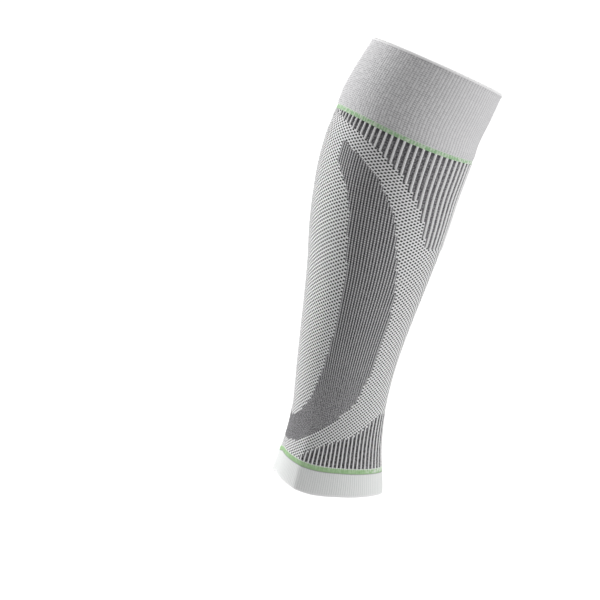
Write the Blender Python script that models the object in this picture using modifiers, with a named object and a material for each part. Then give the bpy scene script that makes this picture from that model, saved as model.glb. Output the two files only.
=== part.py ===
"""Calf compression sleeve, held in the form it takes on a lower leg.

Frame: the origin lies on the leg's axis in the middle of the ankle hem, +Z runs up
the leg, +X points to the shin and the calf muscle lies towards -X. The sleeve is the
same on both sides of the XZ plane, so each piece is modelled on the -Y side and
mirrored. A place on the knit is given by its share of the way round, 0 at the shin
and 0.5 at the back of the calf, and by its height along the leg's axis.
"""
import math

import bmesh
import bpy
import numpy as np

# Length and girth, in metres
SLEEVE_LENGTH = 0.344      # from the ankle hem to the upper rim, along the leg's axis
CALF_DEPTH = 0.1172        # shin to calf muscle at the fullest section
CALF_WIDTH = 0.1140        # side to side at the fullest section
ANKLE_DEPTH = 0.0757       # front to back at the slimmest section
ANKLE_WIDTH = 0.0659       # side to side at the slimmest section

# Cuffs and stripes
TOP_CUFF_HEIGHT = 0.0573
BOTTOM_CUFF_HEIGHT = 0.0184
STRIPE_HEIGHT = 0.0032
CUFF_WALL = 0.0018         # the cuffs are knitted double
CUFF_STEP = 0.0006         # how far the top cuff stands over the knit below it
CUFF_EASE = 0.0030         # height over which it comes out that far
RIM_ROLL = 0.0005          # how far the rolled rim stands over the cuff
RIM_HEIGHT = 0.0030

# Knit between the stripes
KNIT_WALL = 0.0012
RIBS_AROUND = 64           # ribs in the whole girth
RIB_RELIEF = 0.0006        # depth of the grooves between the ribs
SEAM_GAP = 0.0004          # clearance where one kind of knit ends at another

# Waves in the two ends
HEM_DIP = 0.0053           # how far the hem dips beside the tendon
HEM_DIP_REACH = 0.066      # height at which that dip has faded out
SEAM_BACK_RISE = 0.0027    # how much higher the upper stripe lies at the back
SEAM_SIDE_DIP = 0.0034     # how far it dips at the sides

# The corner that the tendon raises beside the heel
TENDON_SHARE = 0.400       # its place round from the shin, as a share of the girth
TENDON_SPREAD = 0.060      # how far round it flattens out
TENDON_ROUNDING = 0.008
TENDON_HEIGHT = 0.0047
TENDON_REACH = 0.050       # height at which it has faded out

# Fineness of the solids
RING_COLUMNS = 20          # columns in half a girth
BODY_ROWS = 12
CUFF_ROWS = 3
RIB_ROWS = 3
BAND_COLUMNS = 4
BAND_ROWS = 27             # rows from the middle of the back to a crescent's tip
CALF_COLUMNS = 6
CUTTER_DEPTH = 0.008
CUTTER_OVERRUN = 0.003
ARC_STEPS = 180
MERGE_DISTANCE = 0.00001

# Sections of the worn sleeve, from the hem up. Height is a share of SLEEVE_LENGTH, the
# tilt leans the section back in degrees, shift moves its middle forward as a share of
# CALF_DEPTH, depth and width run from 0 at the ankle's size to 1 at the calf's, and egg
# narrows the front of the section.
SECTION_COLUMNS = ("height", "tilt", "shift", "depth", "width", "egg")
SECTIONS = (
    (-0.020, 0.0, 0.003, 0.40, 0.29, -0.04),
    (0.000, 0.0, 0.000, 0.34, 0.24, -0.04),
    (0.035, 0.0, -0.006, 0.23, 0.16, -0.03),
    (0.058, 0.0, -0.013, 0.16, 0.11, -0.03),
    (0.102, 0.0, -0.026, 0.05, 0.03, -0.03),
    (0.160, 0.0, -0.043, 0.00, 0.00, -0.02),
    (0.233, 0.0, -0.064, 0.04, 0.05, -0.01),
    (0.320, 0.0, -0.074, 0.16, 0.18, 0.02),
    (0.407, 0.0, -0.073, 0.33, 0.35, 0.04),
    (0.494, 0.5, -0.070, 0.53, 0.54, 0.06),
    (0.581, 1.5, -0.074, 0.76, 0.75, 0.08),
    (0.654, 3.0, -0.076, 0.89, 0.88, 0.07),
    (0.727, 5.0, -0.072, 0.97, 0.97, 0.07),
    (0.785, 7.0, -0.056, 1.00, 1.00, 0.06),
    (0.834, 9.0, -0.032, 0.97, 0.98, 0.06),
    (0.872, 9.8, -0.019, 0.95, 0.97, 0.06),
    (0.930, 10.8, 0.026, 0.92, 0.94, 0.05),
    (1.000, 11.6, 0.088, 0.83, 0.87, 0.05),
)

# The rolled rim: share of RIM_HEIGHT from its foot, and share of RIM_ROLL
RIM_PROFILE = (
    (0.0, 0.0),
    (0.3, 1.0),
    (0.8, 1.0),
    (1.0, 0.0),
)

# The hem's wave: share of the way round, and share of HEM_DIP
HEM_WAVE = (
    (0.00, 0.00),
    (0.13, 0.10),
    (0.25, -0.50),
    (0.36, -1.00),
    (0.43, -0.50),
    (0.50, 0.25),
)

# Lower edge of the upper ribs: share of the way round, and share of the height
# between the stripes
UPPER_RIB_EDGE = (
    (0.000, 0.693),
    (0.110, 0.694),
    (0.155, 0.704),
    (0.170, 0.726),
    (0.185, 0.765),
    (0.200, 0.806),
    (0.220, 0.837),
    (0.250, 0.874),
    (0.270, 0.901),
    (0.300, 0.924),
    (0.350, 0.952),
    (0.400, 0.968),
    (0.460, 0.985),
)

# Upper edge of the lower ribs, in the same two shares
LOWER_RIB_EDGE = (
    (0.000, 0.159),
    (0.130, 0.159),
    (0.170, 0.140),
    (0.200, 0.116),
    (0.250, 0.091),
    (0.300, 0.072),
    (0.350, 0.051),
    (0.380, 0.031),
    (0.400, 0.012),
)

# The crescent beside the calf muscle, from the middle of the back up to its tip: its
# front edge and its back edge, each as share of the way round and share of the height
# between the stripes
CRESCENT = (
    (0.500, 0.027, 0.500, 0.100),
    (0.470, 0.034, 0.490, 0.105),
    (0.430, 0.049, 0.475, 0.114),
    (0.400, 0.071, 0.450, 0.133),
    (0.350, 0.116, 0.430, 0.152),
    (0.300, 0.156, 0.410, 0.183),
    (0.250, 0.203, 0.390, 0.230),
    (0.225, 0.247, 0.375, 0.281),
    (0.205, 0.304, 0.365, 0.330),
    (0.197, 0.380, 0.356, 0.400),
    (0.197, 0.457, 0.352, 0.460),
    (0.205, 0.535, 0.352, 0.516),
    (0.220, 0.608, 0.353, 0.573),
    (0.235, 0.670, 0.356, 0.629),
    (0.250, 0.728, 0.360, 0.685),
    (0.272, 0.796, 0.368, 0.749),
    (0.310, 0.858, 0.380, 0.800),
    (0.350, 0.896, 0.400, 0.837),
    (0.430, 0.928, 0.430, 0.875),
)

# Foot of the openwork over the calf muscle, which lies along the middle of the crescents
# and is cut off with them: share of the way round, and share of the height between the
# stripes. Its first row is also where this openwork meets that over the shin.
CALF_MESH_FOOT = (
    (0.345, 0.210),
    (0.380, 0.150),
    (0.430, 0.100),
    (0.500, 0.064),
)

# Colours as red, green and blue, and roughness
CUFF_COLOUR = (0.80, 0.81, 0.80)
STRIPE_COLOUR = (0.30, 0.55, 0.22)
MESH_COLOUR = (0.62, 0.63, 0.63)
RIB_COLOUR = (0.36, 0.37, 0.38)
CRESCENT_COLOUR = (0.12, 0.12, 0.13)
KNIT_ROUGHNESS = 0.85


def clear_scene():
    """Removes whatever the scene holds."""
    for item in list(bpy.data.objects):
        bpy.data.objects.remove(item, do_unlink=True)


def smooth(table, column, at):
    """Reads one column of a table as a smooth curve along its first column."""
    rows = np.array(table, dtype=float)
    keys = rows[:, 0]
    values = rows[:, column]
    at = np.clip(np.asarray(at, dtype=float), keys[0], keys[-1])
    slopes = np.gradient(values, keys)
    low = np.clip(np.searchsorted(keys, at) - 1, 0, len(keys) - 2)
    span = keys[low + 1] - keys[low]
    t = (at - keys[low]) / span
    start = (2 * t**3 - 3 * t**2 + 1) * values[low] + (t**3 - 2 * t**2 + t) * span * slopes[low]
    end = (3 * t**2 - 2 * t**3) * values[low + 1] + (t**3 - t**2) * span * slopes[low + 1]
    return start + end


def section(height):
    """Tilt, middle, half depth, half width and egg of the sections at some heights."""
    share = np.asarray(height, dtype=float) / SLEEVE_LENGTH
    value = {name: smooth(SECTIONS, SECTION_COLUMNS.index(name), share) for name in SECTION_COLUMNS[1:]}
    half_depth = (ANKLE_DEPTH + value["depth"] * (CALF_DEPTH - ANKLE_DEPTH)) / 2
    half_width = (ANKLE_WIDTH + value["width"] * (CALF_WIDTH - ANKLE_WIDTH)) / 2
    return np.radians(value["tilt"]), value["shift"] * CALF_DEPTH, half_depth, half_width, value["egg"]


def angle_at(share, half_depth, half_width, egg):
    """Section angle, 0 at the shin, that lies the given share of the girth away from it."""
    angles = np.linspace(0.0, math.pi, ARC_STEPS + 1)
    x = half_depth[:, None] * np.cos(angles)
    y = half_width[:, None] * np.sin(angles) * (1 - egg[:, None] * np.cos(angles))
    steps = np.hypot(np.diff(x, axis=1), np.diff(y, axis=1))
    arc = np.concatenate([np.zeros((len(x), 1)), np.cumsum(steps, axis=1)], axis=1)
    return np.array([np.interp(s, row / (2 * row[-1]), angles) for s, row in zip(share, arc)])


def tendon_corner(share, height):
    """How far the tendon lifts the knit beside the heel."""
    fade = np.clip(1.0 - height / TENDON_REACH, 0.0, 1.0)
    away = np.hypot(share - TENDON_SHARE, TENDON_ROUNDING) / TENDON_SPREAD
    return TENDON_HEIGHT * np.exp(-away) * fade * fade * (3 - 2 * fade)


def surface(share, height, lift):
    """Points of the worn knit's outer face, moved outwards by lift."""
    share, height, lift = np.broadcast_arrays(share, height, lift)
    shape = share.shape
    share, height, lift = (np.ravel(value).astype(float) for value in (share, height, lift))
    lift = lift + tendon_corner(share, height)
    tilt, middle, half_depth, half_width, egg = section(height)
    angle = angle_at(share, half_depth, half_width, egg)
    tangent_x = -half_depth * np.sin(angle)
    tangent_y = -half_width * (np.cos(angle) - egg * np.cos(2 * angle))
    length = np.hypot(tangent_x, tangent_y)
    ahead = half_depth * np.cos(angle) - lift * tangent_y / length
    side = -half_width * np.sin(angle) * (1 - egg * np.cos(angle)) + lift * tangent_x / length
    points = np.stack([middle + ahead * np.cos(tilt), side, height - ahead * np.sin(tilt)], axis=-1)
    return points.reshape(shape + (3,))


def low_line(share, height):
    """A line round the ankle end, which follows the hem's wave less the higher it lies."""
    fade = max(0.0, 1.0 - height / HEM_DIP_REACH)
    return height + HEM_DIP * fade * smooth(HEM_WAVE, 1, share)


def high_line(share, height):
    """A line round the calf that follows the upper stripe's wave."""
    turn = 2 * math.pi * np.asarray(share, dtype=float)
    rise = SEAM_BACK_RISE * (1 - np.cos(turn)) / 2
    return height + rise - SEAM_SIDE_DIP * (1 - np.cos(2 * turn)) / 2


def knit_bottom(share):
    """Where the knit starts, just above the lower stripe."""
    return low_line(share, BOTTOM_CUFF_HEIGHT + STRIPE_HEIGHT + 2 * SEAM_GAP)


def knit_top(share):
    """Where the knit ends, just below the upper stripe."""
    return high_line(share, SLEEVE_LENGTH - TOP_CUFF_HEIGHT - STRIPE_HEIGHT - 2 * SEAM_GAP)


def knit_height(share, part):
    """Height at a share of the way from the lower stripe to the upper one."""
    return knit_bottom(share) + part * (knit_top(share) - knit_bottom(share))


def mean_girth():
    """The girth halfway between the ankle's and the calf's."""
    return math.pi * (CALF_WIDTH + ANKLE_WIDTH) / 2


def rows_between(low, high, parts):
    """Heights of a grid's rows, from the line low to the line high."""
    return low[None, :] + np.asarray(parts)[:, None] * (high - low)[None, :]


def half_sheet(name, points, collection):
    """An open grid of faces for the -Y half, with a Mirror that makes it whole."""
    rows, columns = points.shape[:2]
    mesh = bpy.data.meshes.new(name)
    build = bmesh.new()
    corners = [[build.verts.new(points[r, c]) for c in range(columns)] for r in range(rows)]
    for r in range(rows - 1):
        for c in range(columns - 1):
            build.faces.new((corners[r][c], corners[r + 1][c], corners[r + 1][c + 1], corners[r][c + 1]))
    build.to_mesh(mesh)
    build.free()
    mesh.shade_smooth()
    sheet = bpy.data.objects.new(name, mesh)
    collection.objects.link(sheet)
    mirror = sheet.modifiers.new("other side", "MIRROR")
    mirror.use_axis = (False, True, False)
    mirror.merge_threshold = MERGE_DISTANCE
    return sheet


def thicken(sheet, wall, offset):
    """Gives a sheet its wall: offset -1 keeps its outer face, 0 its middle."""
    solid = sheet.modifiers.new("wall", "SOLIDIFY")
    solid.thickness = wall
    solid.offset = offset
    solid.use_even_offset = True


def finish(sheet, colour, holder):
    """Gives a piece its material and hangs it on the leg's axis."""
    material = bpy.data.materials.new(sheet.name)
    material.use_nodes = True
    shader = material.node_tree.nodes["Principled BSDF"]
    shader.inputs["Base Color"].default_value = (*colour, 1.0)
    shader.inputs["Roughness"].default_value = KNIT_ROUGHNESS
    shader.inputs["Metallic"].default_value = 0.0
    sheet.data.materials.append(material)
    sheet.parent = holder


def ring(name, low, high, parts, lifts, collection):
    """Half of a tube between two lines round the leg, with a lift for each row."""
    share = np.linspace(0.0, 0.5, RING_COLUMNS + 1)
    heights = rows_between(low(share), high(share), parts)
    points = surface(share[None, :], heights, np.asarray(lifts)[:, None])
    return half_sheet(name, points, collection)


def top_cuff(parts, holder):
    """The wide cuff over the calf, with its rolled rim."""
    low = SLEEVE_LENGTH - TOP_CUFF_HEIGHT + SEAM_GAP
    height = SLEEVE_LENGTH - low
    ease = CUFF_EASE / height
    roll = RIM_HEIGHT / height
    levels = [0.0] + list(np.linspace(ease, 1.0 - roll, CUFF_ROWS))
    lifts = [0.0] + [CUFF_STEP] * CUFF_ROWS
    for up, out in RIM_PROFILE[1:]:
        levels.append(1.0 - roll + up * roll)
        lifts.append(CUFF_STEP + out * RIM_ROLL)
    cuff = ring("top_cuff", lambda share: high_line(share, low),
                lambda share: np.full_like(share, SLEEVE_LENGTH), levels, lifts, parts)
    thicken(cuff, CUFF_WALL, -1.0)
    finish(cuff, CUFF_COLOUR, holder)


def upper_stripe(parts, holder):
    """The thin coloured stripe under the top cuff."""
    top = SLEEVE_LENGTH - TOP_CUFF_HEIGHT
    stripe = ring("upper_stripe", lambda share: high_line(share, top - STRIPE_HEIGHT - SEAM_GAP),
                  lambda share: high_line(share, top), (0.0, 1.0), (0.0, 0.0), parts)
    thicken(stripe, KNIT_WALL, -1.0)
    finish(stripe, STRIPE_COLOUR, holder)


def lower_stripe(parts, holder):
    """The thin coloured stripe over the bottom cuff."""
    low = BOTTOM_CUFF_HEIGHT + SEAM_GAP
    stripe = ring("lower_stripe", lambda share: low_line(share, low),
                  lambda share: low_line(share, low + STRIPE_HEIGHT), (0.0, 1.0), (0.0, 0.0), parts)
    thicken(stripe, KNIT_WALL, -1.0)
    finish(stripe, STRIPE_COLOUR, holder)


def bottom_cuff(parts, holder):
    """The narrow cuff above the ankle, ending in the hem."""
    levels = np.linspace(0.0, 1.0, CUFF_ROWS + 1)
    cuff = ring("bottom_cuff", lambda share: low_line(share, 0.0),
                lambda share: low_line(share, BOTTOM_CUFF_HEIGHT), levels, np.zeros(CUFF_ROWS + 1), parts)
    thicken(cuff, CUFF_WALL, -1.0)
    finish(cuff, CUFF_COLOUR, holder)


def rib_columns(edge):
    """Shares of the way round of the crests and grooves, from a crest at the shin to a groove."""
    count = 2 * int(edge[-1][0] * RIBS_AROUND) + 1
    return np.arange(count + 1) / (2 * RIBS_AROUND)


def rib_panel(name, edge, hangs, parts, cutters):
    """A panel of ribs that run from a stripe to a curved edge, and the cutter for its place.

    A panel that hangs reaches down from the upper stripe, and one that doesn't stands
    on the lower stripe.
    """
    share = rib_columns(edge)
    border = knit_height(share, smooth(edge, 1, share))
    levels = np.linspace(0.0, 1.0, RIB_ROWS + 1)
    grooves = -RIB_RELIEF * (np.arange(len(share)) % 2)
    if hangs:
        low, high = border, knit_top(share)
        cut_low, cut_high = border - SEAM_GAP, high + CUTTER_OVERRUN
    else:
        low, high = knit_bottom(share), border
        cut_low, cut_high = low - CUTTER_OVERRUN, border + SEAM_GAP
    panel = half_sheet(name, surface(share[None, :], rows_between(low, high, levels), grooves[None, :]), parts)
    thicken(panel, KNIT_WALL, -1.0)
    wider = share.copy()
    wider[-1] += SEAM_GAP / mean_girth()
    cut_rows = rows_between(cut_low, cut_high, levels)
    cutter = half_sheet(name + "_cutter", surface(wider[None, :], cut_rows, 0.0), cutters)
    thicken(cutter, CUTTER_DEPTH, 0.0)
    return panel, cutter


def band_points(margin):
    """The crescent's grid, from the middle of the back to the tip, grown by margin."""
    rows = [(place, *row) for place, row in enumerate(CRESCENT)]
    places = np.linspace(0, len(CRESCENT) - 1, BAND_ROWS + 1)
    front_share, front_part, back_share, back_part = (smooth(rows, column, places) for column in range(1, 5))
    front_height = knit_height(front_share, front_part)
    back_height = knit_height(back_share, back_part)
    across = np.hypot((back_share - front_share) * mean_girth(), back_height - front_height)
    steps = np.tile(np.linspace(0.0, 1.0, BAND_COLUMNS + 1), (BAND_ROWS + 1, 1))
    steps[:, 0] -= margin / across
    steps[:, -1] += margin / across
    share = front_share[:, None] + steps * (back_share - front_share)[:, None]
    height = front_height[:, None] + steps * (back_height - front_height)[:, None]
    share[-1, :] += margin / mean_girth()
    return surface(share, height, 0.0)


def crescent_panel(parts, cutters):
    """The two crescents beside the calf muscle, which meet above the heel, and their cutter."""
    panel = half_sheet("crescent_panel", band_points(0.0), parts)
    thicken(panel, KNIT_WALL, -1.0)
    cutter = half_sheet("crescent_cutter", band_points(SEAM_GAP), cutters)
    thicken(cutter, CUTTER_DEPTH, 0.0)
    return panel, cutter


def cut_out(body, holes):
    """Cuts the panels' places out of a piece of openwork."""
    for hole in holes:
        cut = body.modifiers.new(hole.name, "BOOLEAN")
        cut.operation = "DIFFERENCE"
        cut.solver = "EXACT"
        cut.object = hole


def calf_points(margin, overrun):
    """The grid over the calf muscle, grown by margin at its side and by overrun at its top."""
    share = np.linspace(CALF_MESH_FOOT[0][0], 0.5, CALF_COLUMNS + 1)
    share[0] -= margin / mean_girth()
    foot = knit_height(share, smooth(CALF_MESH_FOOT, 1, share))
    levels = np.linspace(0.0, 1.0, BODY_ROWS + 1)
    return surface(share[None, :], rows_between(foot, knit_top(share) + overrun, levels), 0.0)


def calf_mesh(parts, cutters, holes):
    """The openwork knit over the calf muscle, between the crescents, and its cutter."""
    calf = half_sheet("calf_mesh", calf_points(0.0, 0.0), parts)
    thicken(calf, KNIT_WALL, -1.0)
    cut_out(calf, holes)
    cutter = half_sheet("calf_cutter", calf_points(SEAM_GAP, CUTTER_OVERRUN), cutters)
    thicken(cutter, CUTTER_DEPTH, 0.0)
    return calf, cutter


def shin_mesh(parts, holes):
    """The openwork knit over the shin and round the ankle, which fills the rest between the stripes."""
    levels = np.linspace(0.0, 1.0, BODY_ROWS + 1)
    shin = ring("shin_mesh", knit_bottom, knit_top, levels, np.zeros(BODY_ROWS + 1), parts)
    thicken(shin, KNIT_WALL, -1.0)
    cut_out(shin, holes)
    return shin


def main():
    clear_scene()
    parts = bpy.data.collections.new("calf_compression_sleeve")
    cutters = bpy.data.collections.new("cutters")
    bpy.context.scene.collection.children.link(parts)
    bpy.context.scene.collection.children.link(cutters)
    leg_axis = bpy.data.objects.new("leg_axis", None)
    parts.objects.link(leg_axis)

    top_cuff(parts, leg_axis)
    upper_stripe(parts, leg_axis)
    upper_ribs, upper_hole = rib_panel("upper_rib_panel", UPPER_RIB_EDGE, True, parts, cutters)
    lower_ribs, lower_hole = rib_panel("lower_rib_panel", LOWER_RIB_EDGE, False, parts, cutters)
    crescents, crescent_hole = crescent_panel(parts, cutters)
    calf, calf_hole = calf_mesh(parts, cutters, (crescent_hole, upper_hole))
    shin = shin_mesh(parts, (calf_hole, crescent_hole, upper_hole, lower_hole))
    finish(upper_ribs, RIB_COLOUR, leg_axis)
    finish(lower_ribs, RIB_COLOUR, leg_axis)
    finish(crescents, CRESCENT_COLOUR, leg_axis)
    finish(calf, MESH_COLOUR, leg_axis)
    finish(shin, MESH_COLOUR, leg_axis)
    lower_stripe(parts, leg_axis)
    bottom_cuff(parts, leg_axis)
    for hole in (upper_hole, lower_hole, crescent_hole, calf_hole):
        hole.hide_render = True
        hole.display_type = "WIRE"
        hole.parent = leg_axis


main()
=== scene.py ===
"""Looks of the calf compression sleeve: its knit, stitch by stitch, in the worn form.

The frame and the charts of the knit are the part's: the origin lies on the sleeve's axis in
the middle of the ankle hem, +Z runs up the sleeve and +X points to the shin. A place on the
knit is counted in wales round the sleeve from the shin, and in courses up the sleeve.
"""
import math

import bpy
import numpy as np
from mathutils import Matrix, Vector


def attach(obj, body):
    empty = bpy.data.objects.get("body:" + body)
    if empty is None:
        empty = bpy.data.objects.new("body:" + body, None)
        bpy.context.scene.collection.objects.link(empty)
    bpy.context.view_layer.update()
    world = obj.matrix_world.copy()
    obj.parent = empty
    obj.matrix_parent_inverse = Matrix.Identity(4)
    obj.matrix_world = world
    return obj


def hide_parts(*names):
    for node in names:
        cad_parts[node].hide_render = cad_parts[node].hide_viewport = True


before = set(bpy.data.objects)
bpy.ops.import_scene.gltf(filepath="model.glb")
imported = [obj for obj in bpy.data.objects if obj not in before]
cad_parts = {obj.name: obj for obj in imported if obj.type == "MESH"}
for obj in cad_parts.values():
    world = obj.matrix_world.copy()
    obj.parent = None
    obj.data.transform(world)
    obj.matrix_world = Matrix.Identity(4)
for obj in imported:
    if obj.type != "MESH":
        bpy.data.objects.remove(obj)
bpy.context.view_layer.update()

# Length and girth, in metres
SLEEVE_LENGTH = 0.344
CALF_DEPTH = 0.1172
CALF_WIDTH = 0.1140
ANKLE_DEPTH = 0.0757
ANKLE_WIDTH = 0.0659

# Cuffs and stripes
TOP_CUFF_HEIGHT = 0.0573
BOTTOM_CUFF_HEIGHT = 0.0184
STRIPE_HEIGHT = 0.0032
CUFF_WALL = 0.0018
CUFF_STEP = 0.0006
CUFF_EASE = 0.0030
RIM_ROLL = 0.0005
RIM_HEIGHT = 0.0030
KNIT_WALL = 0.0012

# Waves in the two ends
HEM_DIP = 0.0053
HEM_DIP_REACH = 0.066
SEAM_BACK_RISE = 0.0027
SEAM_SIDE_DIP = 0.0034

# The raised corner near the back of the ankle end
TENDON_SHARE = 0.390
TENDON_SPREAD = 0.062       # how far behind its corner it flattens out
TENDON_FRONT_SPREAD = 0.110
TENDON_ROUNDING = 0.005
TENDON_HEIGHT = 0.0055
TENDON_REACH = 0.070

# The knit's count
WALES = 128
COURSES = 194
CUFF_COURSE = 0.00143      # height of a course in the cuffs and stripes
FINE = 12                  # finest step across a wale or a course, as parts of it
TUBE_STEPS = 4             # faces to a wale round the cuffs and stripes

# Relief of the knit, in metres
DOT_DEPTH = 0.00026
LOOP_HEIGHT = 0.00010
UPPER_RIB_CREST = 0.00065
LOWER_RIB_CREST = 0.00030
RIB_GROOVE = 0.00035
STITCH_HEIGHT = 0.00006
DENSE_STITCH_HEIGHT = 0.00003
CUFF_STITCH_HEIGHT = 0.00009
LINE_HEIGHT = 0.00015
CUFF_RIB = 0.00022

# Form of the relief
PIT_ROUNDNESS = 0.6         # lower makes the pits flatter, with steeper sides
RIB_CREST_FLAT = 0.14       # half of the flat on a rib's crest, in wales
RIB_FLANK = 0.42            # width of its flank, in wales
GROOVE_STITCH = 0.3         # how much of a stitch's height is left in a groove
LINE_SPREAD = 0.2           # spread of a ridge in the crescents, in wales
SECOND_RIB = 0.12           # how much the ribs of a cuff are stronger and weaker by turns
SHARP_ANGLE = 70.0          # edges that turn by more degrees stay sharp

# Rims of the cuffs: height over the end, and share of the wall's thickness from the inner face
# at the top and from the outer face at the hem
RIM_PROFILE = (
    (0.0005, 0.75),
    (0.0006, 0.45),
    (0.0003, 0.10),
)
HEM_PROFILE = (
    (0.0003, 0.93),
    (-0.0002, 0.65),
    (-0.0002, 0.35),
    (0.0001, 0.10),
)
RIM_CREST = 0.45            # share of RIM_HEIGHT at which the roll is thickest, from the top
RIM_INSIDE = 0.0006         # how far below the end the top cuff's inner face starts
RIM_COURSE = 0.4            # the rim's place over the last course
HEM_FOOT = 0.0005           # how far above the end the bottom cuff's outer face starts
HEM_INSIDE = 0.05           # share of its height at which its inner face ends

# Sections of the worn sleeve, from the hem up
SECTION_COLUMNS = ("height", "tilt", "shift", "depth", "width", "egg")
SECTIONS = (
    (-0.020, 0.0, 0.003, 0.40, 0.29, -0.04),
    (0.000, 0.0, 0.000, 0.34, 0.24, -0.04),
    (0.035, 0.0, -0.006, 0.23, 0.16, -0.03),
    (0.058, 0.0, -0.013, 0.16, 0.11, -0.03),
    (0.102, 0.0, -0.026, 0.05, 0.03, -0.03),
    (0.160, 0.0, -0.043, 0.00, 0.00, -0.02),
    (0.233, 0.0, -0.064, 0.04, 0.05, -0.01),
    (0.320, 0.0, -0.074, 0.16, 0.18, 0.02),
    (0.407, 0.0, -0.073, 0.33, 0.35, 0.04),
    (0.494, 0.5, -0.070, 0.53, 0.54, 0.06),
    (0.581, 1.5, -0.074, 0.76, 0.75, 0.08),
    (0.654, 3.0, -0.076, 0.89, 0.88, 0.07),
    (0.727, 5.0, -0.072, 0.97, 0.97, 0.07),
    (0.785, 7.0, -0.056, 1.00, 1.00, 0.06),
    (0.834, 9.0, -0.032, 0.97, 0.98, 0.06),
    (0.872, 9.8, -0.019, 0.95, 0.97, 0.06),
    (0.930, 10.8, 0.026, 0.92, 0.94, 0.05),
    (1.000, 11.6, 0.088, 0.83, 0.87, 0.05),
)

# The hem's wave: share of the way round, and share of HEM_DIP
HEM_WAVE = (
    (0.00, 0.00),
    (0.13, 0.10),
    (0.25, -0.50),
    (0.36, -1.00),
    (0.43, -0.50),
    (0.50, 0.25),
)

# Lower edge of the upper ribs and upper edge of the lower ribs: share of the way round,
# and share of the height between the stripes
UPPER_RIB_EDGE = (
    (0.000, 0.703),
    (0.110, 0.704),
    (0.155, 0.712),
    (0.170, 0.732),
    (0.185, 0.765),
    (0.200, 0.806),
    (0.220, 0.837),
    (0.250, 0.874),
    (0.270, 0.901),
    (0.300, 0.924),
    (0.350, 0.952),
    (0.400, 0.968),
    (0.450, 0.980),
    (0.492, 0.987),
)
LOWER_RIB_EDGE = (
    (0.000, 0.159),
    (0.130, 0.159),
    (0.170, 0.140),
    (0.200, 0.116),
    (0.250, 0.091),
    (0.300, 0.072),
    (0.350, 0.051),
    (0.380, 0.031),
    (0.400, 0.012),
)

# The crescents, from the middle of the back up to the tip: front edge and back edge
CRESCENT = (
    (0.500, 0.027, 0.500, 0.100),
    (0.470, 0.034, 0.490, 0.105),
    (0.430, 0.049, 0.475, 0.114),
    (0.400, 0.071, 0.450, 0.133),
    (0.345, 0.113, 0.430, 0.152),
    (0.292, 0.152, 0.410, 0.183),
    (0.243, 0.200, 0.389, 0.230),
    (0.225, 0.245, 0.375, 0.281),
    (0.205, 0.304, 0.365, 0.330),
    (0.197, 0.380, 0.356, 0.400),
    (0.197, 0.457, 0.352, 0.460),
    (0.205, 0.535, 0.352, 0.516),
    (0.220, 0.608, 0.353, 0.573),
    (0.235, 0.670, 0.358, 0.629),
    (0.250, 0.728, 0.364, 0.685),
    (0.272, 0.796, 0.371, 0.749),
    (0.310, 0.858, 0.384, 0.800),
    (0.350, 0.899, 0.404, 0.840),
    (0.434, 0.936, 0.436, 0.880),
)

# Foot of the calf openwork, under the crescents
CALF_MESH_FOOT = (
    (0.345, 0.210),
    (0.380, 0.150),
    (0.430, 0.100),
    (0.500, 0.064),
)

# How close the courses lie: share of the height between the stripes, courses per millimetre
COURSE_DENSITY = (
    (0.00, 0.80),
    (0.15, 0.76),
    (0.28, 0.75),
    (0.43, 0.72),
    (0.56, 0.67),
    (0.68, 0.68),
    (0.78, 0.73),
    (0.89, 0.79),
    (1.00, 0.80),
)

# How the stretch spaces the wales: share of the height between the stripes, how much
# closer they lie at the back than at the shin, and at the shin and back than at the sides
WALE_SPREAD = (
    (0.00, -0.32, -0.12),
    (0.10, -0.28, -0.10),
    (0.30, -0.16, -0.01),
    (0.50, -0.12, 0.03),
    (0.70, -0.12, 0.03),
    (0.85, -0.17, 0.00),
    (1.00, -0.20, 0.00),
)
SPREAD_STEPS = 14

# Steps in which the surface's chart and the outlines are worked out
CHART_BELOW = 0.012         # how far the chart runs on below the hem, in metres
CHART_ABOVE = 0.006         # and above the rim
CHART_ROWS = 180
CHART_COLUMNS = 181
CHART_TURN = 361
COURSE_STEPS = 400
OUTLINE_STEPS = 8           # to each row of a crescent's table
PAST_BACK = 0.52            # a crescent's outline runs on over the middle of the back

# Zones of the knit, and faces of a piece
SHIN_MESH, CALF_MESH, UPPER_RIBS, LOWER_RIBS, CRESCENTS = range(5)
OUTER, INNER, WALL = range(3)

# Pieces between the stripes: zone, faces across and up a stitch, whether the piece is centred
# on the back, strips in its baked map, slot and solid
KNIT_PIECES = (
    ("shin_openwork", SHIN_MESH, 4, 3, False, 1, "mesh_knit", "shin_mesh"),
    ("calf_openwork", CALF_MESH, 4, 3, True, 2, "mesh_knit", "calf_mesh"),
    ("upper_ribs", UPPER_RIBS, 4, 2, False, 1, "rib_knit", "upper_rib_panel"),
    ("lower_ribs", LOWER_RIBS, 4, 2, False, 1, "rib_knit", "lower_rib_panel"),
    ("crescents", CRESCENTS, 4, 2, True, 1, "crescent_knit", "crescent_panel"),
)

# Layout of the baked maps: start and width of the strips for outer faces, inner faces and walls
OUTER_STRIP = (0.0, 0.76)
INNER_STRIP = (0.77, 0.17)
WALL_STRIP = (0.945, 0.05)
WALL_ROWS = 12              # rows of wall boxes to each column of them
WALL_INSET = (0.10, 0.15)   # free edge in a wall's box, across and up
STRIP_MARGIN = 0.004
TUBE_MARGIN = 0.002

# Strips in the baked maps of the cuffs and of the stripes
TOP_STRIPS = 2
BOTTOM_STRIPS = 4
STRIPE_STRIPS = 8

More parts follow.
